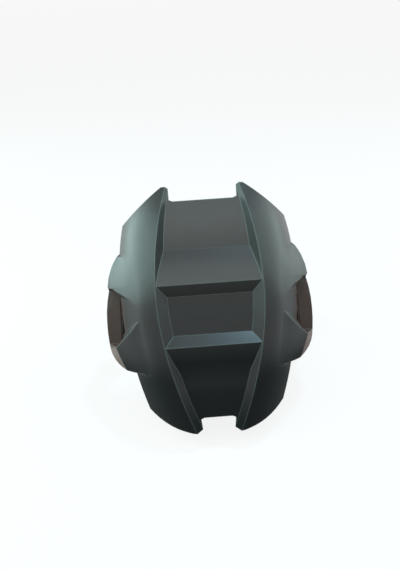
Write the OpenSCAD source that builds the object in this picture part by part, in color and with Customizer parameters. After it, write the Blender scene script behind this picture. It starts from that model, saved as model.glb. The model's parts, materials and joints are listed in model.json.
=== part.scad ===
// Rear hugger mudguard: one moulded shell, curved along its length and bowed across it,
// held by two flat side arms through cushioned screws.
// X runs across the guard, -Y is to the rear and +Z is up, as the guard sits on the machine.

/* [Shell] */
// Radius of the two crest lines about the line that the guard curves round
crest_radius = 352; // [345:1:360]
// Wall of the moulded shell
wall = 3; // [2.6:0.1:3.4]
// Slope of the line from that middle line to the middle of the guard, in degrees above level
tilt = 35; // [25:1:45]
// Width over the body's sides, without the wings
body_width = 181; // [177:1:186]
// Fall of the cheeks from the crest to the body's side
cheek_drop = 44; // [40:1:48]

/* [Crests] */
// Widest spacing of the two crest lines
crest_width = 104; // [98:1:108]
// Spacing of the crest lines at the upper horn tips
crest_top_width = 73; // [68:1:78]
// Spacing of the crest lines at the lower horn tips
crest_tail_width = 44; // [40:1:50]
// Length of the upper horns past the panel's edge
horn_top = 14; // [10:1:18]
// Length of the lower horns past the panel's edge
horn_tail = 15; // [11:1:19]

/* [Centre channel] */
// Place of the recess's middle along the crest, below the guard's middle
floor_offset = 6; // [3:1:9]
// Length of the flat recess floor
floor_length = 39; // [34:1:44]
// Depth of the recess floor under the crests
floor_depth = 8.5; // [6:0.5:10]
// Run of the short slope at each end of the recess
end_slope = 10.5; // [9:0.5:12]
// Run of the slope from the upper ridge up to the upper crease
upper_slope = 36.5; // [32:0.5:41]
// Depth of the upper crease under the crests
upper_depth = 9; // [7:0.5:10]
// Length of the upper panel
upper_panel = 51; // [46:1:56]
// Depth of the upper panel's free edge under the crests
upper_edge_depth = 5; // [3:0.5:7]
// Run of the slope from the lower ridge down to the lower crease
lower_slope = 28.5; // [25:0.5:32]
// Depth of the lower crease under the crests
lower_depth = 7; // [5:0.5:9]
// Length of the lower panel
lower_panel = 47; // [42:1:52]
// Width of the side bevel beside the recess floor
floor_bevel = 10.5; // [9:0.5:12]
// Width of the side bevel beside the two panels
panel_bevel = 7; // [6:0.5:8.5]

/* [Wings] */
// Width over the two side straps
wing_width = 221; // [218:1:225]
// Width over the outer corners of the two upper lips
lip_width = 210; // [207:1:214]
// Height above the middle, along the crest, at which the wings leave the body
notch_height = 72; // [68:1:76]
// Height above the middle of the upper lip's outer corner
lip_outer = 34.5; // [31:0.5:38]
// Height above the middle of the vent's upper inner end
lip_inner = 10.5; // [9:0.5:13]
// Depth of the upper lip's outer corner under the crests
lip_depth = 52; // [50:1:54]
// Drop below the middle of the vent's lower inner end
scoop_inner = 9.5; // [8:0.5:12]
// Drop below the middle of the scoop's outer corner
scoop_outer = 38; // [35:0.5:41]
// Drop below the middle of the scoop's lower end
scoop_end = 66; // [63:1:69]
// Width over the upper outer corners of the two scoop faces
scoop_width = 198; // [195:1:201]
// Depth of the scoop face's outer edge under the crests
scoop_depth = 41; // [39:1:43]
// Width between the rear edges of the two straps
strap_gap = 187; // [185:1:190]
// Depth of the strap's rear edge under the crests
strap_rear_depth = 60; // [58:1:62]
// Depth of the strap's outer bulge under the crests
strap_depth = 68; // [66:1:71]
// Depth of the side walls' front edge at the straps
skirt_depth = 88; // [86:1:92]
// Width over the side walls' front edges at the straps
skirt_width = 212; // [210:1:214]

/* [Ears and arms] */
// Depth of the two side screws' line under the crests
screw_depth = 114; // [110:1:118]
// Drop of the screws' middle below the guard's middle
screw_drop = 3; // [0:0.5:6]
// Spacing of the two side screws
screw_spacing = 30; // [26:1:34]
// Thickness of the ear that carries a grommet
ear_thick = 4; // [3.5:0.1:4.5]
// Edge of the ear beyond each screw, along the crest
ear_edge = 9.5; // [9:0.5:12]
// Thickness of the arm's plate
arm_thick = 3; // [2.5:0.5:4]
// Reach from the screws to the nearer hole for the machine's bolt
arm_reach = 66; // [60:1:80]
// Spacing of the arm's two holes for the machine's bolts
bolt_spacing = 30; // [26:1:36]
// Bore of the arm's holes for the machine's bolts
bolt_bore = 8.5; // [8.2:0.1:9]

/* [Fixings] */
// Thread size of the side screws
screw_size = 6; // [5:0.5:6]
// Length of a side screw under its head
screw_length = 18; // [17:1:20]
// Outer diameter of the grommet's flanges
grommet_width = 17; // [16:0.5:18]
// Diameter of the grommet's neck, in the ear's hole
grommet_neck = 12; // [11:0.5:13]
// Thickness of one grommet flange
grommet_flange = 2; // [1.5:0.5:2.5]
// Outer diameter of the steel collar inside the grommet
collar_width = 8.2; // [8:0.1:9]
// Thickness of the washer under the head
washer_thick = 1.6; // [1.2:0.1:2]
// Clearance on each side where one piece passes through another
fit_gap = 0.1; // [0.05:0.05:0.2]

/* [Hidden] */
SIDES = [["left", -1], ["right", 1]];
SPOTS = [["upper", 0.5], ["lower", -0.5]];
FIXINGS = ["screw", "washer", "collar", "grommet", "nut"];
// Arc places of the channel's creases, counted upward from the guard's middle
floor_top = floor_length / 2 - floor_offset;
floor_low = -floor_length / 2 - floor_offset;
ridge_top = floor_top + end_slope;
ridge_low = floor_low - end_slope;
crease_top = ridge_top + upper_slope;
crease_low = ridge_low - lower_slope;
panel_top = crease_top + upper_panel;
panel_tail = crease_low - lower_panel;
tip_top = panel_top + horn_top;
tip_tail = panel_tail - horn_tail;
// Height of a moulded step face along the crest
step = 1.5;

function mix(a, b, t) = a + (b - a) * t;
function clamp01(t) = min(1, max(0, t));
function ease(t) = let (u = clamp01(t)) u * u * (3 - 2 * u);

// Half spacing of the crests: a barrel bow with its belly near the upper ridge
belly = 12;
function crest_x(s) = s > belly
    ? crest_width / 2 - (crest_width - crest_top_width) / 2 * pow((s - belly) / (tip_top - belly), 2)
    : crest_width / 2 - (crest_width - crest_tail_width) / 2 * pow((belly - s) / (belly - tip_tail), 1.7);

// Half width of the body at its sides, widest at the shoulder
shoulder = 45;
shoulder_fall = 5.5;
tail_fall = 21.5;
function body_x(s) = s > shoulder
    ? body_width / 2 - shoulder_fall * pow((s - shoulder) / (tip_top - 18 - shoulder), 2)
    : body_width / 2 - tail_fall * pow((shoulder - s) / (shoulder - tip_tail - 12), 2.2);

// Half width of the wing above its lip, and of the strap and scoop below it
function wing_x(s) = lip_width / 2
    - (lip_width - body_width) / 2 * pow(clamp01((s - lip_outer) / (notch_height - lip_outer)), 1.8);
strap_belly = -10;
end_flare = 12;
function strap_fall(s) = clamp01((strap_belly - s) / (scoop_end + strap_belly));
function strap_x(s) = s > strap_belly
    ? mix(wing_width, lip_width + 2, pow((s - strap_belly) / (lip_outer - strap_belly), 2)) / 2
    : mix(wing_width, body_width + end_flare, pow(strap_fall(s), 4)) / 2;

// Inner edge of the bevels: beside the panels, the slopes and the recess floor
sliver = 0.6;
tip_bevel = 2.8;
function foot_in(s) =
    s >= crease_top ? mix(panel_bevel, tip_bevel, (s - crease_top) / (tip_top - crease_top)) :
    s >= ridge_top ? mix(sliver, panel_bevel, (s - ridge_top) / upper_slope) :
    s >= floor_top ? mix(floor_bevel, sliver, (s - floor_top) / end_slope) :
    s >= floor_low ? floor_bevel :
    s >= ridge_low ? mix(sliver, floor_bevel, (s - ridge_low) / end_slope) :
    s >= crease_low ? mix(panel_bevel, sliver, (s - crease_low) / lower_slope) :
    panel_bevel;

// Depth of the channel's floor under the crests
function channel_depth(s) = lookup(s, [
    [tip_tail, 3], [panel_tail, 5], [crease_low, lower_depth], [ridge_low, 0.4], [floor_low, floor_depth],
    [floor_top, floor_depth], [ridge_top, 0.4], [crease_top, upper_depth], [panel_top, upper_edge_depth],
    [tip_top, 2]]);

// Depth of the cheek, from the crest (u = 0) to the body's side (u = 1)
function side_drop(s) = cheek_drop - (s > 0 ? 4 * pow(s / tip_top, 2) : 12 * pow(s / tip_tail, 2));
function cheek_depth(s, u) = side_drop(s) * (0.32 * u + 0.68 * pow(u, 2.5));
function cheek(s, u) = [mix(crest_x(s), body_x(s), u), s, cheek_depth(s, u)];

// Depth of the side walls' front edge: a narrow rim at both ends, deepest at the straps
rim = 14;
rim_fade_top = 80;
rim_fade_low = 50;
function skirt(s) = side_drop(s) + rim + (skirt_depth - cheek_drop - rim)
    * (s > 0 ? ease((notch_height + 36 - s) / rim_fade_top) : ease((notch_height + 26 + s) / rim_fade_low));

// The loft's stations run down the guard: 1 notch and upper crease, 2 lip and upper ridge, 3 foot of the lip,
// 4 foot of the scoop, 5 scoop edge, 6 lower ridge, 7 end of the scoop, 8 lower crease. Each is placed at the
// channel, at the vent's inner end and at the outer edge, and the free edges close the loft at 0 and 9.
mid_s = [0, crease_top, ridge_top, floor_top, mix(floor_top, floor_low, 0.75), floor_low, ridge_low,
    mix(ridge_low, crease_low, 0.6), crease_low, 0];
vent_s = [0, notch_height - 8, lip_inner, lip_inner - step, step - scoop_inner, -scoop_inner,
    -mix(scoop_inner, scoop_end, 0.35), 2 - scoop_end, -1 - scoop_end, 0];
edge_s = [0, notch_height, lip_outer, lip_outer - step, step - scoop_outer, -scoop_outer,
    -mix(scoop_outer, scoop_end, 0.45), -scoop_end, -step - scoop_end, 0];
ROWS = [0, 0.25, 0.5, 0.75, 1, 1.1, 1.25, 1.4, 1.7, 2, 3, 3.2, 3.4, 3.6, 3.8, 4, 5, 5.5, 6, 6.4, 6.75, 7, 8, 8.25,
    8.5, 8.75, 9];

// Columns run from the middle to the side: 0 to 2 channel floor, 3 bevel's foot, 4 crest, 5 to 12 cheek up to
// the hinge of the wings, 14 free edge of the facet, 15 vent, 16 outer edge, 17 bulge of the side wall, 18 its
// front edge
HINGE = 12;
FREE = 14;
EDGE = 16;
LAST = 18;
CHEEK_U = [0.1, 0.17, 0.24, 0.31, 0.38, 0.44, 0.5, 0.55, 0.68, 0.8, 0.91, 1];
VENT_PART = [0.23, 0.48, 0.74];
top_fall = 20;
tail_rise = 14;

function past(j) = (CHEEK_U[min(j, EDGE) - 5] - CHEEK_U[0]) / (1 - CHEEK_U[0]);
function top_s(j) = j <= 1 ? panel_top : j == 2 ? panel_top + step : j == 3 ? tip_top - 1 : j == 4 ? tip_top :
    tip_top + 0.8 - top_fall * sin(90 * past(j)) - (j > EDGE ? 6 * (j - EDGE) : 0);
function tail_s(j) = j <= 1 ? panel_tail : j == 2 ? panel_tail - step :
    j == 3 ? tip_tail + 3 : j == 4 ? tip_tail :
    tip_tail + 0.2 + tail_rise * mix(pow(past(j), 3), past(j), 0.6) + (j > EDGE ? 4 * (j - EDGE) : 0);
function anchor(k, j) = k == 0 ? top_s(j) : k == 9 ? tail_s(j) :
    j <= 5 ? mid_s[k] :
    j <= HINGE ? mix(mid_s[k], vent_s[k], (j - 5) / (HINGE - 5)) :
    j < EDGE ? mix(vent_s[k], edge_s[k], VENT_PART[j - HINGE - 1]) : edge_s[k];
function row_s(t, j) = let (k = min(8, floor(t))) mix(anchor(k, j), anchor(k + 1, j), t - k);

// Outer edge: body, wing, strap or scoop, whose lower end stands proud of the body by a ledge
end_ledge = 9;
function edge_point(t) = let (s = row_s(t, EDGE))
    t <= 1 || t >= 8 ? cheek(s, 1) :
    t <= 2 ? [wing_x(s), s, mix(side_drop(s), lip_depth, ease(t - 1))] :
    t <= 4 ? [strap_gap / 2 + 2 * (t - 3), s, strap_rear_depth] :
    let (f = (t - 5) / 2) [mix(scoop_width / 2, body_x(s) + end_ledge, f), s, mix(scoop_depth, side_drop(s), f)];

// Flared faces of the wing and scoop: chords from the vent's inner end to the edge, with a low crown
crown = 2;
function chord(t, j) = let (
    s = row_s(t, j), a = cheek(row_s(t, HINGE), CHEEK_U[HINGE - 5]), b = edge_point(t),
    f = VENT_PART[j - HINGE - 1]) [mix(a[0], b[0], f), s, mix(a[2], b[2], f) - 4 * crown * f * (1 - f)];
function flare(t, j) = mix(cheek(row_s(t, j), CHEEK_U[j - 5]), chord(t, j), t < 2 ? ease(1.2 * (t - 1)) : 1);

// Free edge of the recessed facet, which leans in toward the scoop
facet_top_x = 91.7;
facet_low_x = 90;
function facet(t, j) = let (s = row_s(t, j), x = mix(facet_top_x, facet_low_x, t - 3),
    u = (x - crest_x(s)) / (body_x(s) - crest_x(s)))
    cheek(s, j == FREE ? u : mix(CHEEK_U[HINGE - 5], u, 0.5));
function vent_point(t) = let (a = facet(t, FREE), b = edge_point(t)) mix(a, b, 0.5);

function side_point(t) = let (s = row_s(t, LAST - 1))
    t <= 1 || t >= 8 ? [body_x(s) + 0.8, s, side_drop(s) + 8] :
    t <= 2 ? [wing_x(s) + 1, s, edge_point(t)[2] + 9] :
    [strap_x(s), s, t <= 4 ? strap_depth : mix(strap_depth, side_drop(s) + rim, (t - 5) / 2)];
function skirt_point(t) = let (s = row_s(t, LAST))
    [mix(body_x(s) - 0.5, skirt_width / 2, t <= 4 ? ease(t - 1) : ease((8 - t) / 3)), s, skirt(s)];

function place(t, j) = let (s = row_s(t, j))
    j == 0 ? [0, s, channel_depth(s)] :
    j == 1 ? [crest_x(s) - foot_in(s) - 6.5, s, channel_depth(s)] :
    j == 2 ? [crest_x(s) - foot_in(s) - 2.5, s, channel_depth(s)] :
    j == 3 ? [crest_x(s) - foot_in(s), s, channel_depth(s)] :
    j == 4 ? [crest_x(s), s, 0] :
    j <= HINGE || (j < EDGE && (t <= 1 || t >= 8)) ? cheek(s, CHEEK_U[j - 5]) :
    j < EDGE && (t <= 2 || t >= 5) ? flare(t, j) :
    j <= FREE ? facet(t, j) :
    j < EDGE ? vent_point(t) :
    j == EDGE ? edge_point(t) :
    j < LAST ? side_point(t) : skirt_point(t);

// A point at width x, arc place s and depth d under the crests, seen from the middle line
function on_arc(p) = let (a = p[1] / crest_radius * 180 / PI, r = crest_radius - p[2])
    [p[0], r * sin(a), r * cos(a)];

OUTER = [for (t = ROWS) [for (c = [-LAST : LAST]) let (p = place(t, abs(c)))
    on_arc([sign(c) * p[0], p[1], p[2]])]];
ROW_CELLS = len(ROWS) - 1;
COL_CELLS = 2 * LAST;

// The vents are the cells left out between the facet and the strap
function is_vent(i, c) = let (side = c < LAST ? LAST - 1 - c : c - LAST)
    side >= FREE && side < EDGE && ROWS[i] >= 3 && ROWS[i + 1] <= 4;
function is_wall(i, c) = i >= 0 && c >= 0 && i < ROW_CELLS && c < COL_CELLS && !is_vent(i, c);
function unit(v) = v / norm(v);
function cell_normal(i, c) = unit(
    cross(OUTER[i][c + 1] - OUTER[i + 1][c], OUTER[i][c] - OUTER[i + 1][c + 1]));
NORMALS = [for (i = [0 : ROW_CELLS - 1]) [for (c = [0 : COL_CELLS - 1]) cell_normal(i, c)]];
function total(list, k = 0) = k < len(list) ? list[k] + total(list, k + 1) : [0, 0, 0];
function inner_point(i, c) = let (
    around = [for (a = [i - 1, i]) for (b = [c - 1, c]) if (is_wall(a, b)) NORMALS[a][b]],
    n = unit(total(around)), lean = total(around) * n / len(around))
    len(around) == 0 ? OUTER[i][c] : OUTER[i][c] - wall * n / max(lean, 0.55);
INNER = [for (i = [0 : ROW_CELLS]) [for (c = [0 : COL_CELLS]) inner_point(i, c)]];

// The shell's two skins and the narrow faces that join them along every free edge
function out_id(i, c) = i * (COL_CELLS + 1) + c;
IN_BASE = (ROW_CELLS + 1) * (COL_CELLS + 1);
function in_id(i, c) = IN_BASE + out_id(i, c);
function quad(a, b, c, d, turn = false) = turn ? [[a, b, d], [b, c, d]] : [[a, b, c], [a, c, d]];
// Each cell is split along its shorter diagonal, the same way on the left and on the right
function turned(i, c) = norm(OUTER[i][c] - OUTER[i + 1][c + 1]) + (c < LAST ? 0.001 : -0.001)
    > norm(OUTER[i][c + 1] - OUTER[i + 1][c]);
SKIN = [for (i = [0 : ROW_CELLS - 1]) for (c = [0 : COL_CELLS - 1]) if (is_wall(i, c)) each concat(
    quad(out_id(i, c), out_id(i, c + 1), out_id(i + 1, c + 1), out_id(i + 1, c), turned(i, c)),
    quad(in_id(i, c), in_id(i + 1, c), in_id(i + 1, c + 1), in_id(i, c + 1), turned(i, c)),
    is_wall(i - 1, c) ? [] : quad(out_id(i, c + 1), out_id(i, c), in_id(i, c), in_id(i, c + 1)),
    is_wall(i + 1, c) ? [] :
        quad(out_id(i + 1, c), out_id(i + 1, c + 1), in_id(i + 1, c + 1), in_id(i + 1, c)),
    is_wall(i, c - 1) ? [] : quad(out_id(i, c), out_id(i + 1, c), in_id(i + 1, c), in_id(i, c)),
    is_wall(i, c + 1) ? [] :
        quad(out_id(i + 1, c + 1), out_id(i, c + 1), in_id(i, c + 1), in_id(i + 1, c + 1)))];

module moulding() {
    polyhedron(points = [for (skin = [OUTER, INNER]) for (row = skin) each row], faces = SKIN, convexity = 8);
}

// Places the guard with the middle of its front bolt line at the origin
screw_c = crest_radius - screw_depth;
front_c = screw_c - arm_reach - bolt_spacing;
module on_machine() {
    rotate([90 - tilt, 0, 0]) translate([0, screw_drop, -front_c]) children();
}
// Turns a side piece that is modelled outward along Z, with X along the crest, onto one side wall
module on_side(side, along, out) {
    on_machine() mirror([side < 0 ? 1 : 0, 0, 0]) translate([0, -screw_drop, 0])
        translate([0, along, out]) rotate([90, 0, 90]) children();
}

// The ear stands just inside the side wall's outer face
ear_out = skirt_width / 2 - 0.3;
ear_in = ear_out - ear_thick;
ear_corner = 8;
ear_half = screw_spacing / 2 + ear_edge;
ear_flare = 3;
ear_reach = 12;
// Depth to which the ear's root overlaps the side wall
ear_root = 8;
// Moulded ear below the strap: a flat plate with rounded front corners, still without its holes
module ear_plate() {
    root = screw_depth - skirt_depth + ear_root;
    corner_x = ear_half - ear_corner;
    corner_y = ear_corner - ear_reach;
    translate([0, 0, ear_in]) linear_extrude(ear_thick) {
        polygon([[-ear_half - ear_flare, root], [-ear_half, corner_y], [-corner_x, -ear_reach],
            [corner_x, -ear_reach], [ear_half, corner_y], [ear_half + ear_flare, root]]);
        for (x = [-corner_x, corner_x]) translate([x, corner_y]) circle(r = ear_corner, $fn = 64);
    }
}

// A hole's cutter stands out this far past each face
overcut = 1;
module shell() {
    color([0.16, 0.18, 0.18]) difference() {
        union() {
            on_machine() moulding();
            for (side = SIDES) on_side(side[1], 0, screw_c) ear_plate();
        }
        for (side = SIDES) for (spot = SPOTS) on_side(side[1], spot[1] * screw_spacing, screw_c)
            translate([0, 0, ear_in - overcut])
                cylinder(h = ear_thick + 2 * overcut, d = grommet_neck + fit_gap, $fn = 64);
    }
}

// Outer face of the arm, on which the collar stands, and the stack above it
arm_face = ear_in - grommet_flange;
collar_length = ear_thick + 2 * grommet_flange;
washer_face = arm_face + collar_length;
head_face = washer_face + washer_thick;
screw_hole = screw_size + 4 * fit_gap;
arm_eye = 11;
arm_nose = 12;
arm_waist = 9;
module arm_outline() {
    for (spot = SPOTS) translate([spot[1] * screw_spacing, 0]) circle(r = arm_eye, $fn = 64);
    translate([-screw_spacing / 2, -arm_eye]) square([screw_spacing, 2 * arm_eye]);
    polygon([[screw_spacing / 2, 0], [-screw_spacing / 2, 0], [-arm_waist, -arm_reach / 2],
        [-arm_nose, -arm_reach], [arm_nose, -arm_reach], [arm_waist, -arm_reach / 2]]);
    for (y = [0, bolt_spacing]) translate([0, -arm_reach - y]) circle(r = arm_nose, $fn = 64);
    translate([-arm_nose, -arm_reach - bolt_spacing]) square([2 * arm_nose, bolt_spacing]);
}
module arm(side) {
    color([0.12, 0.12, 0.13]) on_side(side, 0, screw_c) difference() {
        translate([0, 0, arm_face - arm_thick]) linear_extrude(arm_thick) arm_outline();
        translate([0, 0, arm_face - arm_thick - overcut]) {
            for (spot = SPOTS) translate([spot[1] * screw_spacing, 0, 0])
                cylinder(h = arm_thick + 2 * overcut, d = screw_hole, $fn = 48);
            for (y = [0, bolt_spacing]) translate([0, -arm_reach - y, 0])
                cylinder(h = arm_thick + 2 * overcut, d = bolt_bore, $fn = 48);
        }
    }
}

head_width = 10.5;
head_height = 3.3;
socket_width = 4;
module screw() {
    color([0.3, 0.3, 0.32]) translate([0, 0, head_face]) difference() {
        rotate_extrude($fn = 64) polygon([[0, -screw_length], [screw_size / 2 - 0.6, -screw_length],
            [screw_size / 2, -screw_length + 0.6], [screw_size / 2, 0], [head_width / 2, 0],
            [head_width / 2, 0.8], [head_width / 2 - 0.7, 2], [head_width / 2 - 1.8, 2.9],
            [head_width / 2 - 3, head_height], [0, head_height]]);
        translate([0, 0, head_height - 2]) cylinder(h = 3, d = socket_width / cos(30), $fn = 6);
    }
}
module washer() {
    color([0.6, 0.6, 0.62]) translate([0, 0, washer_face]) difference() {
        cylinder(h = washer_thick, d = grommet_width, $fn = 64);
        translate([0, 0, -overcut]) cylinder(h = washer_thick + 2 * overcut, d = screw_hole, $fn = 48);
    }
}
module collar() {
    color([0.6, 0.6, 0.62]) translate([0, 0, arm_face]) difference() {
        cylinder(h = collar_length, d = collar_width, $fn = 48);
        translate([0, 0, -overcut]) cylinder(h = collar_length + 2 * overcut, d = screw_hole, $fn = 48);
    }
}
grommet_round = 0.6;
module grommet() {
    color([0.07, 0.07, 0.07]) translate([0, 0, arm_face]) rotate_extrude($fn = 64) polygon([
        [collar_width / 2 + fit_gap, 0], [grommet_width / 2 - grommet_round, 0],
        [grommet_width / 2, grommet_round], [grommet_width / 2, grommet_flange],
        [grommet_neck / 2 - fit_gap / 2, grommet_flange],
        [grommet_neck / 2 - fit_gap / 2, grommet_flange + ear_thick],
        [grommet_width / 2, grommet_flange + ear_thick],
        [grommet_width / 2, collar_length - grommet_round],
        [grommet_width / 2 - grommet_round, collar_length],
        [collar_width / 2 + fit_gap, collar_length]]);
}
nut_height = 4.5;
nut_flange = 1.2;
nut_across = 10;
nut_flange_width = 14;
module nut() {
    color([0.6, 0.6, 0.62]) translate([0, 0, arm_face - arm_thick - nut_height]) difference() {
        union() {
            cylinder(h = nut_height, d = nut_across / cos(30), $fn = 6);
            translate([0, 0, nut_height - nut_flange]) cylinder(h = nut_flange, d = nut_flange_width, $fn = 64);
        }
        translate([0, 0, -overcut]) cylinder(h = nut_height + 2 * overcut, d = screw_size + fit_gap, $fn = 48);
    }
}
module fixing(kind) {
    if (kind == "screw") screw();
    if (kind == "washer") washer();
    if (kind == "collar") collar();
    if (kind == "grommet") grommet();
    if (kind == "nut") nut();
}

shell();
arm(-1);  // left_arm
arm(1);  // right_arm
for (side = SIDES) for (spot = SPOTS) for (kind = FIXINGS)
    on_side(side[1], spot[1] * screw_spacing, screw_c) fixing(kind);
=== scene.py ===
# %% [markdown]
# A rear hugger mudguard, dressed for its photograph.
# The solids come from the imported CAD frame: one moulded shell, two flat side arms and ten small
# fixings on each side. This lesson keeps those shapes, gives the shell a smooth moulded skin, and spends
# most of its effort on the finishes: grained black plastic, powder coat, turned steel and rubber.

import json
import math

import bmesh
import bpy
from mathutils import Matrix, Vector


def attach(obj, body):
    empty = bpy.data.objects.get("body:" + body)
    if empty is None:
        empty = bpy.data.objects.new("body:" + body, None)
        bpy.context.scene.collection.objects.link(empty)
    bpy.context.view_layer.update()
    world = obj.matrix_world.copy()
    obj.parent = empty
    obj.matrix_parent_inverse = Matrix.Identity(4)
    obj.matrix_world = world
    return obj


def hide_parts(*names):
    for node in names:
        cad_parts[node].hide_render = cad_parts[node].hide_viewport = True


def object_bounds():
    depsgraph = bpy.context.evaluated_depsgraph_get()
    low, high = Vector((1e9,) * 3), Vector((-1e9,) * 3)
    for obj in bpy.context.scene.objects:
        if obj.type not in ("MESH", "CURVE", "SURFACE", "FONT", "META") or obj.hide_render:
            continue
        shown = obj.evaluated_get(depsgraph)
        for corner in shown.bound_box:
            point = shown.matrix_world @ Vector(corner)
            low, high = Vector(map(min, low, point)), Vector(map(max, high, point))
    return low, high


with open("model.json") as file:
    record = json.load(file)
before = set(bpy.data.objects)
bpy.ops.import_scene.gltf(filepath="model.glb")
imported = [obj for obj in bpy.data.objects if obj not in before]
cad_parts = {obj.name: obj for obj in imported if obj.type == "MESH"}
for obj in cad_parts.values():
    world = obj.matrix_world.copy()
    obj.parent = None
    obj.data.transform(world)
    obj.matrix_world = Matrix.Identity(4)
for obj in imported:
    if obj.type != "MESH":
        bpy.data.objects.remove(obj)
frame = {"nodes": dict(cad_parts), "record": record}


def plain_box():
    low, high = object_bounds()
    return [list(low), list(high)]


cad_box = plain_box()
print("CAD box in metres", cad_box)

# %% [markdown]
# The camera comes first, because every later choice is judged through it. The guard hangs at the back on
# a slope, so it is easiest to describe the camera in the guard's own directions: across, up along
# the crest, and outward. The numbers come from matching mirrored corners of the guard in the photograph.
# The middle of the view isn't the middle of the picture, which is what the two shift values are for.

# %% Camera at the photograph's angle
PHOTO_SIZE = (400, 570)
SLOPE = math.radians(55)
ARC_MIDDLE_TO_ORIGIN = 0.142
DROP = 0.003
CREST_RADIUS = 0.352
FOCAL_PIXELS = 545
CAMERA_GAP = 0.518
CAMERA_YAW = math.radians(1.47)
CAMERA_ROLL = math.radians(4.19)
VIEW_MIDDLE = (211.24, 308)
SENSOR = 36

guard_to_row = Matrix.Rotation(SLOPE, 4, "X") @ Matrix.Translation((0, DROP, -ARC_MIDDLE_TO_ORIGIN))
turn = Matrix.Rotation(CAMERA_ROLL, 4, "Z") @ Matrix.Rotation(CAMERA_YAW, 4, "Y")
camera_data = bpy.data.cameras.new("photo_camera")
camera = bpy.data.objects.new("photo_camera", camera_data)
bpy.context.collection.objects.link(camera)
camera.matrix_world = (guard_to_row @ Matrix.Translation((0, 0, CREST_RADIUS)) @ turn.transposed()
                       @ Matrix.Translation((0, 0, CAMERA_GAP)))
camera_data.sensor_width = SENSOR
camera_data.lens = SENSOR * FOCAL_PIXELS / PHOTO_SIZE[1]
camera_data.shift_x = (PHOTO_SIZE[0] / 2 - VIEW_MIDDLE[0]) / PHOTO_SIZE[1]
camera_data.shift_y = (VIEW_MIDDLE[1] - PHOTO_SIZE[1] / 2) / PHOTO_SIZE[1]
camera_data.clip_start = 0.01
bpy.context.scene.camera = camera
print("camera at", [round(v, 3) for v in camera.matrix_world.translation], "lens", round(camera_data.lens, 2))

# %% [markdown]
# A finish is a chain of shader nodes. The next helpers keep those chains short to write: one adds a node
# and sets its values, one starts a material with its Principled shader, and one starts a node group with
# named inputs and outputs, so that an effect is built once and shared.


# %% Helpers for nodes, materials and groups
def add(tree, kind, **values):
    node = tree.nodes.new(kind)
    for key, value in values.items():
        if hasattr(node, key):
            setattr(node, key, value)
        else:
            node.inputs[key.replace("_", " ")].default_value = value
    return node


def join(tree, out, into):
    tree.links.new(out, into)


def new_material(name, color, roughness, **values):
    material = bpy.data.materials.new(name)
    material.use_nodes = True
    shader = material.node_tree.nodes["Principled BSDF"]
    shader.inputs["Base Color"].default_value = (*color, 1)
    shader.inputs["Roughness"].default_value = roughness
    for key, value in values.items():
        shader.inputs[key.replace("_", " ")].default_value = value
    return material, material.node_tree, shader


def new_group(name, inputs, outputs):
    group = bpy.data.node_groups.new(name, "ShaderNodeTree")
    for title, kind, value in inputs:
        socket = group.interface.new_socket(title, in_out="INPUT", socket_type=kind)
        if value is not None:
            socket.default_value = value
    for title, kind in outputs:
        group.interface.new_socket(title, in_out="OUTPUT", socket_type=kind)
    return group, group.nodes.new("NodeGroupInput"), group.nodes.new("NodeGroupOutput")


def use_group(tree, group, **values):
    node = tree.nodes.new("ShaderNodeGroup")
    node.node_tree = group
    for key, value in values.items():
        node.inputs[key.replace("_", " ")].default_value = value
    return node


def set_range(node, ends, results=(0, 1)):
    """Sets the two values a Map Range node reads between and the two it gives for them."""
    node.inputs["From Min"].default_value, node.inputs["From Max"].default_value = ends
    node.inputs["To Min"].default_value, node.inputs["To Max"].default_value = results


FLOAT, VECTOR = "NodeSocketFloat", "NodeSocketVector"
print("helpers ready")

# %% [markdown]
# A textured mould leaves a fine leathery grain on plastic, and a casting or a coat of powder leaves a
# softer one. All of them are small rounded cells with a little noise over them, so one group makes the
# height for each finish at its own cell size. The group also gives a slow cloud, because no large moulding
# is equally dull all over.

# %% Group: moulded grain
CELL_SHARE = 0.6
grain, grain_in, grain_out = new_group(
    "moulded_grain", [("Vector", VECTOR, None), ("Cells per metre", FLOAT, 1500.0)],
    [("Height", FLOAT), ("Cloud", FLOAT)])
cells = add(grain, "ShaderNodeTexVoronoi", feature="SMOOTH_F1")
speckle = add(grain, "ShaderNodeTexNoise", Detail=3.0, Roughness=0.6)
cloud = add(grain, "ShaderNodeTexNoise", Scale=14.0, Detail=4.0, Roughness=0.55)
half_height = add(grain, "ShaderNodeMath", operation="MULTIPLY")
half_height.inputs[1].default_value = CELL_SHARE
both = add(grain, "ShaderNodeMath", operation="ADD")
for texture in (cells, speckle):
    join(grain, grain_in.outputs["Vector"], texture.inputs["Vector"])
    join(grain, grain_in.outputs["Cells per metre"], texture.inputs["Scale"])
join(grain, grain_in.outputs["Vector"], cloud.inputs["Vector"])
join(grain, cells.outputs["Distance"], half_height.inputs[0])
join(grain, half_height.outputs[0], both.inputs[0])
join(grain, speckle.outputs["Fac"], both.inputs[1])
join(grain, both.outputs[0], grain_out.inputs["Height"])
join(grain, cloud.outputs["Fac"], grain_out.inputs["Cloud"])
print("group", grain.name)
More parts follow.
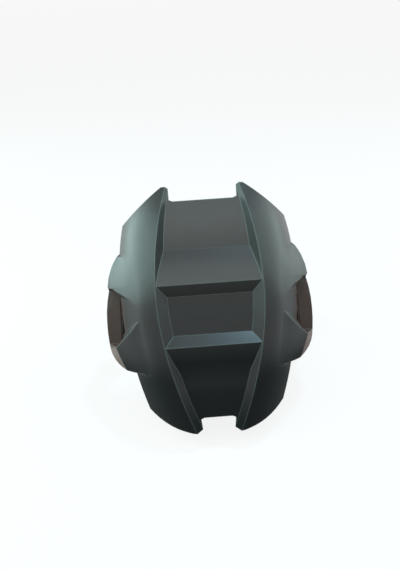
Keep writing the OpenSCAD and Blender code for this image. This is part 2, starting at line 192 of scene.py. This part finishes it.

# %% [markdown]
# Road dust settles on what faces up, in patches. The same mask also paints light from above: on the shell its
# lighter colour is teal, a painted sheen of the sky on upward faces. A mask for it needs only the surface's
# own direction and some noise. It isn't a layer of geometry: it lightens the colour a little, which is also
# what keeps black plastic from looking like a hole in the picture.

# %% Group: dust and painted top light
UPWARD_FACING = (-0.3, 1.0)
PATCH_RANGE = (0.3, 0.75)
dust_and_light, dust_light_in, dust_light_out = new_group(
    "dust_and_top_light", [("Vector", VECTOR, None), ("Amount", FLOAT, 0.5)], [("Mask", FLOAT)])
facing = add(dust_and_light, "ShaderNodeNewGeometry")
facing_parts = add(dust_and_light, "ShaderNodeSeparateXYZ")
facing_range = add(dust_and_light, "ShaderNodeMapRange", interpolation_type="SMOOTHSTEP")
set_range(facing_range, UPWARD_FACING)
patch_noise = add(dust_and_light, "ShaderNodeTexNoise", Scale=60.0, Detail=6.0, Roughness=0.65)
patch_range = add(dust_and_light, "ShaderNodeMapRange")
set_range(patch_range, PATCH_RANGE)
upward_patches = add(dust_and_light, "ShaderNodeMath", operation="MULTIPLY")
mask_amount = add(dust_and_light, "ShaderNodeMath", operation="MULTIPLY", use_clamp=True)
join(dust_and_light, dust_light_in.outputs["Vector"], patch_noise.inputs["Vector"])
join(dust_and_light, facing.outputs["Normal"], facing_parts.inputs[0])
join(dust_and_light, facing_parts.outputs["Z"], facing_range.inputs["Value"])
join(dust_and_light, patch_noise.outputs["Fac"], patch_range.inputs["Value"])
join(dust_and_light, facing_range.outputs["Result"], upward_patches.inputs[0])
join(dust_and_light, patch_range.outputs["Result"], upward_patches.inputs[1])
join(dust_and_light, upward_patches.outputs[0], mask_amount.inputs[0])
join(dust_and_light, dust_light_in.outputs["Amount"], mask_amount.inputs[1])
join(dust_and_light, mask_amount.outputs[0], dust_light_out.inputs["Mask"])
print("group", dust_and_light.name)

# %% [markdown]
# A brown reflection of the surroundings is painted on what stands behind the slots: the two straps and the
# outer faces of the scoops. Those faces are the ones far out from the middle, low under the crests and below
# the lips of the wings, so the mask is made of just those three distances, and it ends sharply at the scoop's
# edge. Under the scoops' corners the painted reflection is paler, which the second output marks.

# %% Group: painted side reflection
REFLECTION_WIDTH = (0.0845, 0.0875)
REFLECTION_RADIUS = (0.3118, 0.3098)
LIP_LINE = (0.0308, 0.0298)
PALE_BELOW = (-0.029, -0.033)
BLOTCHES = (0.25, 0.6)
FAINTEST_REFLECTION = 0.55
up_guard = guard_to_row.to_3x3() @ Vector((0, 1, 0))
arc_middle = guard_to_row @ Vector((0, 0, 0))
tint_group, reflection_in, tint_out = new_group(
    "painted_side_reflection", [("Vector", VECTOR, None)], [("Mask", FLOAT), ("Pale", FLOAT)])
reflection_parts = add(tint_group, "ShaderNodeSeparateXYZ")
across = add(tint_group, "ShaderNodeMath", operation="ABSOLUTE")
outer = add(tint_group, "ShaderNodeMapRange", interpolation_type="SMOOTHSTEP")
flat_place = add(tint_group, "ShaderNodeVectorMath", operation="MULTIPLY")
flat_place.inputs[1].default_value = (0, 1, 1)
radius = add(tint_group, "ShaderNodeVectorMath", operation="DISTANCE")
radius.inputs[1].default_value = (0, arc_middle.y, arc_middle.z)
lower = add(tint_group, "ShaderNodeMapRange", interpolation_type="SMOOTHSTEP")
height = add(tint_group, "ShaderNodeVectorMath", operation="DOT_PRODUCT")
height.inputs[1].default_value = up_guard
below = add(tint_group, "ShaderNodeMapRange", interpolation_type="SMOOTHSTEP")
pale_part = add(tint_group, "ShaderNodeMapRange", interpolation_type="SMOOTHSTEP")
for span, ends in ((outer, REFLECTION_WIDTH), (lower, REFLECTION_RADIUS), (below, LIP_LINE), (pale_part, PALE_BELOW)):
    set_range(span, ends)
blotches = add(tint_group, "ShaderNodeTexNoise", Scale=90.0, Detail=5.0, Roughness=0.6)
blotch_range = add(tint_group, "ShaderNodeMapRange")
set_range(blotch_range, BLOTCHES, (FAINTEST_REFLECTION, 1))
reflection_side = add(tint_group, "ShaderNodeMath", operation="MULTIPLY")
reflection_area = add(tint_group, "ShaderNodeMath", operation="MULTIPLY")
reflection_mask = add(tint_group, "ShaderNodeMath", operation="MULTIPLY", use_clamp=True)
for node in (reflection_parts, flat_place, height):
    join(tint_group, reflection_in.outputs["Vector"], node.inputs[0])
join(tint_group, reflection_in.outputs["Vector"], blotches.inputs["Vector"])
join(tint_group, reflection_parts.outputs["X"], across.inputs[0])
join(tint_group, across.outputs[0], outer.inputs["Value"])
join(tint_group, flat_place.outputs["Vector"], radius.inputs[0])
join(tint_group, radius.outputs["Value"], lower.inputs["Value"])
join(tint_group, height.outputs["Value"], below.inputs["Value"])
join(tint_group, height.outputs["Value"], pale_part.inputs["Value"])
join(tint_group, pale_part.outputs["Result"], tint_out.inputs["Pale"])
join(tint_group, outer.outputs["Result"], reflection_side.inputs[0])
join(tint_group, lower.outputs["Result"], reflection_side.inputs[1])
join(tint_group, reflection_side.outputs[0], reflection_area.inputs[0])
join(tint_group, below.outputs["Result"], reflection_area.inputs[1])
join(tint_group, blotches.outputs["Fac"], blotch_range.inputs["Value"])
join(tint_group, reflection_area.outputs[0], reflection_mask.inputs[0])
join(tint_group, blotch_range.outputs["Result"], reflection_mask.inputs[1])
join(tint_group, reflection_mask.outputs[0], tint_out.inputs["Mask"])
print("group", tint_group.name)

# %% [markdown]
# Towards the guard's lower third and on every face that looks down it, the shell loses its sheen and goes a
# flat near-black. One dot product covers both, because the place and the surface's direction can be added
# before they are measured along the guard. Below the lips, what looks straight sideways is dulled too, though
# less: those are the walls behind the slots, and there the dulling is painted shade under the lips.

# %% Group: matte low faces and painted lip shade
LOW_PLACE_WEIGHT = 5.6
LOW_RANGE = (0.26, 0.68)
SIDEWAYS = (0.7, 0.95)
LIP_SHADE_SHARE = 0.75
matte_low, matte_low_in, matte_low_out = new_group("matte_low_and_lip_shade", [("Vector", VECTOR, None)], [("Mask", FLOAT)])
looks = add(matte_low, "ShaderNodeNewGeometry")
both_ways = add(matte_low, "ShaderNodeVectorMath", operation="MULTIPLY_ADD")
both_ways.inputs[1].default_value = (LOW_PLACE_WEIGHT, LOW_PLACE_WEIGHT, LOW_PLACE_WEIGHT)
down = add(matte_low, "ShaderNodeVectorMath", operation="DOT_PRODUCT")
down.inputs[1].default_value = -up_guard
low_range = add(matte_low, "ShaderNodeMapRange", interpolation_type="SMOOTHSTEP")
set_range(low_range, LOW_RANGE)
join(matte_low, matte_low_in.outputs["Vector"], both_ways.inputs[0])
join(matte_low, looks.outputs["Normal"], both_ways.inputs[2])
join(matte_low, both_ways.outputs["Vector"], down.inputs[0])
join(matte_low, down.outputs["Value"], low_range.inputs["Value"])
sideways = add(matte_low, "ShaderNodeSeparateXYZ")
side_size = add(matte_low, "ShaderNodeMath", operation="ABSOLUTE")
side_range = add(matte_low, "ShaderNodeMapRange", interpolation_type="SMOOTHSTEP")
set_range(side_range, SIDEWAYS, (0, LIP_SHADE_SHARE))
place_up = add(matte_low, "ShaderNodeVectorMath", operation="DOT_PRODUCT")
place_up.inputs[1].default_value = up_guard
under_lip = add(matte_low, "ShaderNodeMapRange", interpolation_type="SMOOTHSTEP")
set_range(under_lip, LIP_LINE)
# Sideways walls below the lips: painted shade under the lips.
lip_shade = add(matte_low, "ShaderNodeMath", operation="MULTIPLY")
either = add(matte_low, "ShaderNodeMath", operation="MAXIMUM")
join(matte_low, looks.outputs["Normal"], sideways.inputs[0])
join(matte_low, sideways.outputs["X"], side_size.inputs[0])
join(matte_low, side_size.outputs[0], side_range.inputs["Value"])
join(matte_low, matte_low_in.outputs["Vector"], place_up.inputs[0])
join(matte_low, place_up.outputs["Value"], under_lip.inputs["Value"])
join(matte_low, side_range.outputs["Result"], lip_shade.inputs[0])
join(matte_low, under_lip.outputs["Result"], lip_shade.inputs[1])
join(matte_low, low_range.outputs["Result"], either.inputs[0])
join(matte_low, lip_shade.outputs[0], either.inputs[1])
join(matte_low, either.outputs[0], matte_low_out.inputs["Mask"])
print("group", matte_low.name)

# %% [markdown]
# The fixings lie on lines that run across the machine, which is the row's X axis. Turning marks on a
# washer, a collar or a screw head are rings about that line, so the group measures the distance from the
# nearest screw line and makes fine ridges of it. The four lines are mirrored, so two places are enough.

# %% Group: turned rings
SCREW_REACH = 0.096
SCREW_HALF = 0.015


def screw_place(step):
    """A screw line's place in the row's Y and Z: up the guard by step, outward by the arm's reach."""
    return guard_to_row @ Vector((0, -DROP + step, ARC_MIDDLE_TO_ORIGIN + SCREW_REACH))


rings, rings_in, rings_out = new_group(
    "turned_rings", [("Vector", VECTOR, None), ("Rings per metre", FLOAT, 2500.0)],
    [("Height", FLOAT), ("Tone", FLOAT)])
flat = add(rings, "ShaderNodeVectorMath", operation="MULTIPLY")
flat.inputs[1].default_value = (0, 1, 1)
join(rings, rings_in.outputs["Vector"], flat.inputs[0])
nearest = add(rings, "ShaderNodeMath", operation="MINIMUM")
for index, step in enumerate((SCREW_HALF, -SCREW_HALF)):
    away = add(rings, "ShaderNodeVectorMath", operation="DISTANCE")
    place = screw_place(step)
    away.inputs[1].default_value = (0, place.y, place.z)
    join(rings, flat.outputs[0], away.inputs[0])
    join(rings, away.outputs["Value"], nearest.inputs[index])
spread = add(rings, "ShaderNodeMath", operation="MULTIPLY")
ring_noise = add(rings, "ShaderNodeTexNoise", noise_dimensions="1D", Scale=1.0, Detail=2.0)
join(rings, nearest.outputs[0], spread.inputs[0])
join(rings, rings_in.outputs["Rings per metre"], spread.inputs[1])
join(rings, spread.outputs[0], ring_noise.inputs["W"])
stain = add(rings, "ShaderNodeTexNoise", Scale=180.0, Detail=4.0)
join(rings, rings_in.outputs["Vector"], stain.inputs["Vector"])
join(rings, ring_noise.outputs["Fac"], rings_out.inputs["Height"])
join(rings, stain.outputs["Fac"], rings_out.inputs["Tone"])
print("group", rings.name)

# %% [markdown]
# Most finishes are two plain values with a mask between them, so mixing a colour and mixing a number each get
# a helper. A Bevel node rounds the creases for the light only: a moulding has no knife edge, and the thin
# bright line along each crease is what tells the eye that this one is plastic. The same node finds the
# creases a second time, where its rounded normal turns away from the flat one, and the shell paints a pale
# highlight along them.

# %% Helpers for masks and creases
CREASE_RADIUS = 0.0016
CREASE_TURN = (0.996, 0.96)


def colour_between(tree, factor, dark, light):
    mix = add(tree, "ShaderNodeMix", data_type="RGBA")
    mix.inputs["A"].default_value = (*dark, 1)
    mix.inputs["B"].default_value = (*light, 1)
    join(tree, factor, mix.inputs["Factor"])
    return mix.outputs["Result"]


def value_between(tree, factor, low, high):
    span = add(tree, "ShaderNodeMapRange")
    set_range(span, (0, 1), (low, high))
    join(tree, factor, span.inputs["Value"])
    return span.outputs["Result"]


def grain_and_dust_light(tree, shader, cells_per_metre, depth, amount, edge=None):
    """Adds grain bump and a mask of dust and painted top light; returns the cloud and that mask."""
    place = add(tree, "ShaderNodeTexCoord")
    texture = use_group(tree, grain, Cells_per_metre=cells_per_metre)
    tint_group = use_group(tree, dust_and_light, Amount=amount)
    bump = add(tree, "ShaderNodeBump", Distance=depth, Strength=1.0)
    join(tree, place.outputs["Object"], texture.inputs["Vector"])
    join(tree, place.outputs["Object"], tint_group.inputs["Vector"])
    join(tree, texture.outputs["Height"], bump.inputs["Height"])
    if edge:
        rounding = add(tree, "ShaderNodeBevel", samples=8, Radius=edge)
        join(tree, rounding.outputs["Normal"], bump.inputs["Normal"])
    join(tree, bump.outputs["Normal"], shader.inputs["Normal"])
    return texture.outputs["Cloud"], tint_group.outputs["Mask"]


def crease_line(tree):
    """One along the creases, where the rounded normal turns away from the flat one."""
    rounded = add(tree, "ShaderNodeBevel", samples=8, Radius=CREASE_RADIUS)
    flat_side = add(tree, "ShaderNodeNewGeometry")
    same = add(tree, "ShaderNodeVectorMath", operation="DOT_PRODUCT")
    line = add(tree, "ShaderNodeMapRange", interpolation_type="SMOOTHSTEP")
    set_range(line, CREASE_TURN)
    join(tree, rounded.outputs["Normal"], same.inputs[0])
    join(tree, flat_side.outputs["Normal"], same.inputs[1])
    join(tree, same.outputs["Value"], line.inputs["Value"])
    return line.outputs["Result"]


def blend(tree, factor, first, second):
    """Colour blend from a colour output to a plain colour or to another output."""
    mix = add(tree, "ShaderNodeMix", data_type="RGBA")
    join(tree, factor, mix.inputs["Factor"])
    join(tree, first, mix.inputs["A"])
    if isinstance(second, tuple):
        mix.inputs["B"].default_value = (*second, 1)
    else:
        join(tree, second, mix.inputs["B"])
    return mix.outputs["Result"]


print("helpers for masks ready, creases rounded by", CREASE_RADIUS, "m")

# %% [markdown]
# The shell is black ABS with a satin grain. Moulded ABS has a thin skin that shines more than what is under
# it.
# Here the skin is the coat over a duller base, and it is gone low down, on faces that look down, on the walls
# under the lips and where the side reflection is painted. Along the creases a pale highlight is painted, and
# the plastic is smoother there. Upward faces are lightened by dust and by painted light from above, and the
# straps carry a painted brown reflection. Each of these is a mask, so all of it stays one material.

# %% Material: moulded shell
# The first two colours are a painted reflection, the third a painted highlight along the creases, the fourth
# the flat near-black low down.
BROWN_REFLECTION = (0.075, 0.045, 0.039)
PALE_REFLECTION = (0.32, 0.218, 0.2)
CREASE_HIGHLIGHT = (0.08, 0.104, 0.098)
MATTE_LOW_GREY = (0.013, 0.0145, 0.0145)
SKIN_SHINE = 0.66
SKIN_ROUGHNESS = 0.31
CLEAN_ROUGHNESS = (0.27, 0.36)
DULL_ROUGHNESS = 0.7
CREASE_ROUGHNESS = 0.22

shell_black, tree, shader = new_material("shell_black", (0.008, 0.009, 0.009), 0.34, Specular_IOR_Level=0.1,
                                         Coat_Roughness=SKIN_ROUGHNESS)
cloud_out, dust_light_out = grain_and_dust_light(tree, shader, 1400.0, 0.00003, 0.35, edge=CREASE_RADIUS)
# Upward faces are lightened to a teal grey: dust, and a painted sheen of light from above.
black_with_top_light = colour_between(tree, dust_light_out, (0.008, 0.009, 0.009), (0.024, 0.03, 0.029))
place = add(tree, "ShaderNodeTexCoord")
side_reflection = use_group(tree, tint_group)
join(tree, place.outputs["Object"], side_reflection.inputs["Vector"])
line_out = crease_line(tree)
matte_low_node = use_group(tree, matte_low)
join(tree, place.outputs["Object"], matte_low_node.inputs["Vector"])
# A flat near-black low down and on faces that look down; on the walls under the lips it is painted shade.
grey = blend(tree, matte_low_node.outputs["Mask"], black_with_top_light, MATTE_LOW_GREY)
# A pale painted highlight along the creases.
crease_lit = blend(tree, line_out, grey, CREASE_HIGHLIGHT)
# A brown painted reflection on the straps and scoop sides, paler under the scoops' corners.
reflection_colour = colour_between(tree, side_reflection.outputs["Pale"], BROWN_REFLECTION, PALE_REFLECTION)
join(tree, blend(tree, side_reflection.outputs["Mask"], crease_lit, reflection_colour), shader.inputs["Base Color"])
matted = add(tree, "ShaderNodeMath", operation="MAXIMUM")
join(tree, matte_low_node.outputs["Mask"], matted.inputs[0])
join(tree, side_reflection.outputs["Mask"], matted.inputs[1])
join(tree, value_between(tree, matted.outputs[0], SKIN_SHINE, 0), shader.inputs["Coat Weight"])
dull = add(tree, "ShaderNodeMix")
dull.inputs["B"].default_value = DULL_ROUGHNESS
join(tree, matted.outputs[0], dull.inputs["Factor"])
join(tree, value_between(tree, cloud_out, *CLEAN_ROUGHNESS), dull.inputs["A"])
crease_smooth = add(tree, "ShaderNodeMix")
crease_smooth.inputs["B"].default_value = CREASE_ROUGHNESS
join(tree, line_out, crease_smooth.inputs["Factor"])
join(tree, dull.outputs["Result"], crease_smooth.inputs["A"])
join(tree, crease_smooth.outputs["Result"], shader.inputs["Roughness"])
print("material", shell_black.name)

# %% [markdown]
# The arms are powder-coated plate. Powder flows into a soft orange-peel skin, so it gets cells nearly three
# times as large as the moulding's grain, and a gloss that wanders more from place to place.

# %% Material: powder coat
arm_coat, tree, shader = new_material("arm_coat", (0.03, 0.03, 0.032), 0.35)
cloud_out, tint_out = grain_and_dust_light(tree, shader, 500.0, 0.00005, 0.35)
coat_colour = colour_between(tree, tint_out, (0.022, 0.022, 0.024), (0.08, 0.08, 0.078))
join(tree, coat_colour, shader.inputs["Base Color"])
join(tree, value_between(tree, cloud_out, 0.28, 0.42), shader.inputs["Roughness"])
print("material", arm_coat.name)

# %% [markdown]
# Grommet rubber is matte, nearly black and slightly bloomed. It uses the same two groups as the shell with
# finer cells, so the two blacks stay related but don't read as one material.

# %% Material: grommet rubber
grommet_black, tree, shader = new_material("grommet_black", (0.02, 0.02, 0.02), 0.75)
cloud_out, tint_out = grain_and_dust_light(tree, shader, 2600.0, 0.00003, 0.6)
rubber_colour = colour_between(tree, tint_out, (0.014, 0.014, 0.014), (0.06, 0.058, 0.055))
join(tree, rubber_colour, shader.inputs["Base Color"])
join(tree, value_between(tree, cloud_out, 0.68, 0.85), shader.inputs["Roughness"])
print("material", grommet_black.name)


# %% [markdown]
# Steel and aluminium differ here in tone, in ring spacing and in how stained they are. Both are full metals,
# so the rings live in the bump and the stains in the colour and the roughness.

# %% Materials: steel and aluminium
def turned_metal(name, dark, light, smooth, rough, rings_per_metre):
    material, tree, shader = new_material(name, light, smooth, Metallic=1.0)
    place = add(tree, "ShaderNodeTexCoord")
    marks = use_group(tree, rings, Rings_per_metre=rings_per_metre)
    bump = add(tree, "ShaderNodeBump", Distance=0.00002, Strength=1.0)
    join(tree, place.outputs["Object"], marks.inputs["Vector"])
    join(tree, marks.outputs["Height"], bump.inputs["Height"])
    join(tree, bump.outputs["Normal"], shader.inputs["Normal"])
    join(tree, colour_between(tree, marks.outputs["Tone"], dark, light), shader.inputs["Base Color"])
    join(tree, value_between(tree, marks.outputs["Tone"], smooth, rough), shader.inputs["Roughness"])
    print("material", name)
    return material


screw_steel = turned_metal("screw_steel", (0.34, 0.34, 0.35), (0.62, 0.61, 0.6), 0.22, 0.42, 2500.0)
collar_grey = turned_metal("collar_grey", (0.5, 0.5, 0.51), (0.78, 0.78, 0.79), 0.25, 0.4, 4000.0)

# %% [markdown]
# A CAD node arrives as loose triangles. Each one is shaded flat, which is right for a screw head and wrong
# for a moulding that curves both ways. The node itself stays as it is. A copy has its corners merged, and
# its faces are shaded smooth except across edges that are creases on the real shell.

# %% The shell's smooth skin
MERGE = 0.00002
CREASE_ANGLE = math.radians(14)


def smooth_copy(node, name, crease):
    mesh = frame["nodes"][node].data.copy()
    mesh.name = name
    body = bmesh.new()
    body.from_mesh(mesh)
    bmesh.ops.remove_doubles(body, verts=body.verts, dist=MERGE)
    for face in body.faces:
        face.smooth = True
    for edge in body.edges:
        edge.smooth = len(edge.link_faces) == 2 and edge.calc_face_angle() < crease
    body.to_mesh(mesh)
    body.free()
    piece = bpy.data.objects.new(name, mesh)
    bpy.context.collection.objects.link(piece)
    print(name, len(mesh.vertices), "corners", len(mesh.polygons), "faces")
    return piece


shell_skin = smooth_copy("shell", "shell_skin", CREASE_ANGLE)
shell_skin.data.materials.clear()
shell_skin.data.materials.append(shell_black)
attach(shell_skin, "root")
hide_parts("shell")

# %% [markdown]
# Every other node keeps its CAD shape and only changes its finish. The record already says which slot each
# node belongs to, so one table from slot to material dresses them all.

# %% Finishes on the carried-over nodes
finishes = {"arm_paint": arm_coat, "fastener_steel": screw_steel, "collar_aluminium": collar_grey,
            "grommet_rubber": grommet_black, "shell_plastic": shell_black}
for row in frame["record"]["subparts"]:
    dressed = frame["nodes"][row["node"]]
    dressed.data.materials.clear()
    dressed.data.materials.append(finishes[row["material_slot"]])

# %% [markdown]
# The set is a pale floor that the arms' lower ends touch, and a pale surround. Floor and surround look
# white to the camera and in reflections, but light the guard no more than a room would.

# %% Floor and surround
def background_rays(tree):
    """One for rays that look at the background: from the camera, in a reflection or through glass."""
    path = add(tree, "ShaderNodeLightPath")
    total = path.outputs["Is Camera Ray"]
    for kind in ("Is Glossy Ray", "Is Transmission Ray"):
        either = add(tree, "ShaderNodeMath", operation="MAXIMUM")
        join(tree, total, either.inputs[0])
        join(tree, path.outputs[kind], either.inputs[1])
        total = either.outputs[0]
    return total


FLOOR_HALF = 6
FLOOR_GLOW = 0.84
ROOM_LIGHT = 0.22
floor_mesh = bpy.data.meshes.new("floor")
body = bmesh.new()
bmesh.ops.create_grid(body, x_segments=1, y_segments=1, size=FLOOR_HALF)
bmesh.ops.translate(body, verts=body.verts, vec=(0, 0, cad_box[0][2]))
body.to_mesh(floor_mesh)
body.free()
floor = bpy.data.objects.new("floor", floor_mesh)
bpy.context.collection.objects.link(floor)
pale_floor, tree, shader = new_material("pale_floor", (0.11, 0.11, 0.11), 0.9)
floor_noise = add(tree, "ShaderNodeTexNoise", Scale=3.0, Detail=3.0)
join(tree, colour_between(tree, floor_noise.outputs["Fac"], (0.1, 0.1, 0.1), (0.12, 0.12, 0.12)),
     shader.inputs["Base Color"])
floor_glow = add(tree, "ShaderNodeMath", operation="MULTIPLY")
floor_glow.inputs[1].default_value = FLOOR_GLOW
shader.inputs["Emission Color"].default_value = (1, 1, 1, 1)
join(tree, background_rays(tree), floor_glow.inputs[0])
join(tree, floor_glow.outputs[0], shader.inputs["Emission Strength"])
floor.data.materials.append(pale_floor)

world = bpy.data.worlds.new("surround")
bpy.context.scene.world = world
world.use_nodes = True
tree = world.node_tree
lit = tree.nodes["Background"]
lit.inputs["Color"].default_value = (0.95, 0.98, 1.0, 1)
lit.inputs["Strength"].default_value = ROOM_LIGHT
seen = add(tree, "ShaderNodeBackground", Color=(1, 1, 1, 1), Strength=1.0)
either = add(tree, "ShaderNodeMixShader")
join(tree, background_rays(tree), either.inputs["Fac"])
join(tree, lit.outputs[0], either.inputs[1])
join(tree, seen.outputs[0], either.inputs[2])
join(tree, either.outputs[0], tree.nodes["World Output"].inputs["Surface"])
print("floor at", round(cad_box[0][2], 4))

# %% [markdown]
# Black plastic shows its lamps more than its colour, so each lamp is placed by what it is to be seen in. The
# angles are taken from the camera's own line: turn is sideways, rise is up along the guard. Two long soft
# boxes stand level with the upper half, so both cheeks carry a sheen that fades out below the recess. Each is
# tilted with its near end up, which keeps the recess's side bevels dark. One overhead lights the upper
# panels, and a small cool one, high on the right, glints on the end slope.


# %% Soft lamps
LAMP_GAP = 1.1


def lamp(name, turn, rise, size, watts, color, tilt=0):
    turn, rise = math.radians(turn), math.radians(rise)
    out = Vector((math.sin(turn) * math.cos(rise), math.sin(rise), math.cos(turn) * math.cos(rise)))
    side = Vector((0, 1, 0)).cross(out).normalized()
    facing = Matrix((side, out.cross(side), out)).transposed().to_4x4()
    tilted = facing @ Matrix.Rotation(math.radians(tilt), 4, "Z")
    data = bpy.data.lights.new(name, "AREA")
    data.shape = "RECTANGLE"
    data.size, data.size_y = size
    data.energy = watts
    data.color = color
    piece = bpy.data.objects.new(name, data)
    bpy.context.collection.objects.link(piece)
    start = Vector((0, 0, CREST_RADIUS))
    piece.matrix_world = guard_to_row @ Matrix.Translation(start + out * LAMP_GAP) @ tilted
    print("lamp", name, watts, "W at", [round(v, 2) for v in piece.matrix_world.translation])


lamp("left_box", -82, 25, (1.9, 0.74), 17.5, (0.66, 1.0, 0.96), tilt=11)
lamp("right_box", 80, 26, (1.7, 0.74), 7.3, (0.72, 1.0, 0.97), tilt=-16)
lamp("overhead", 0, 35, (0.9, 0.5), 3.6, (0.9, 1.0, 0.96))
lamp("glint", 40, 66, (0.14, 0.14), 6.5, (0.45, 0.8, 1.0))

# %% [markdown]
# The colours are meant to come out about as they are written, so the view transform is Standard.

# %% View and finish
bpy.context.scene.view_settings.view_transform = "Standard"
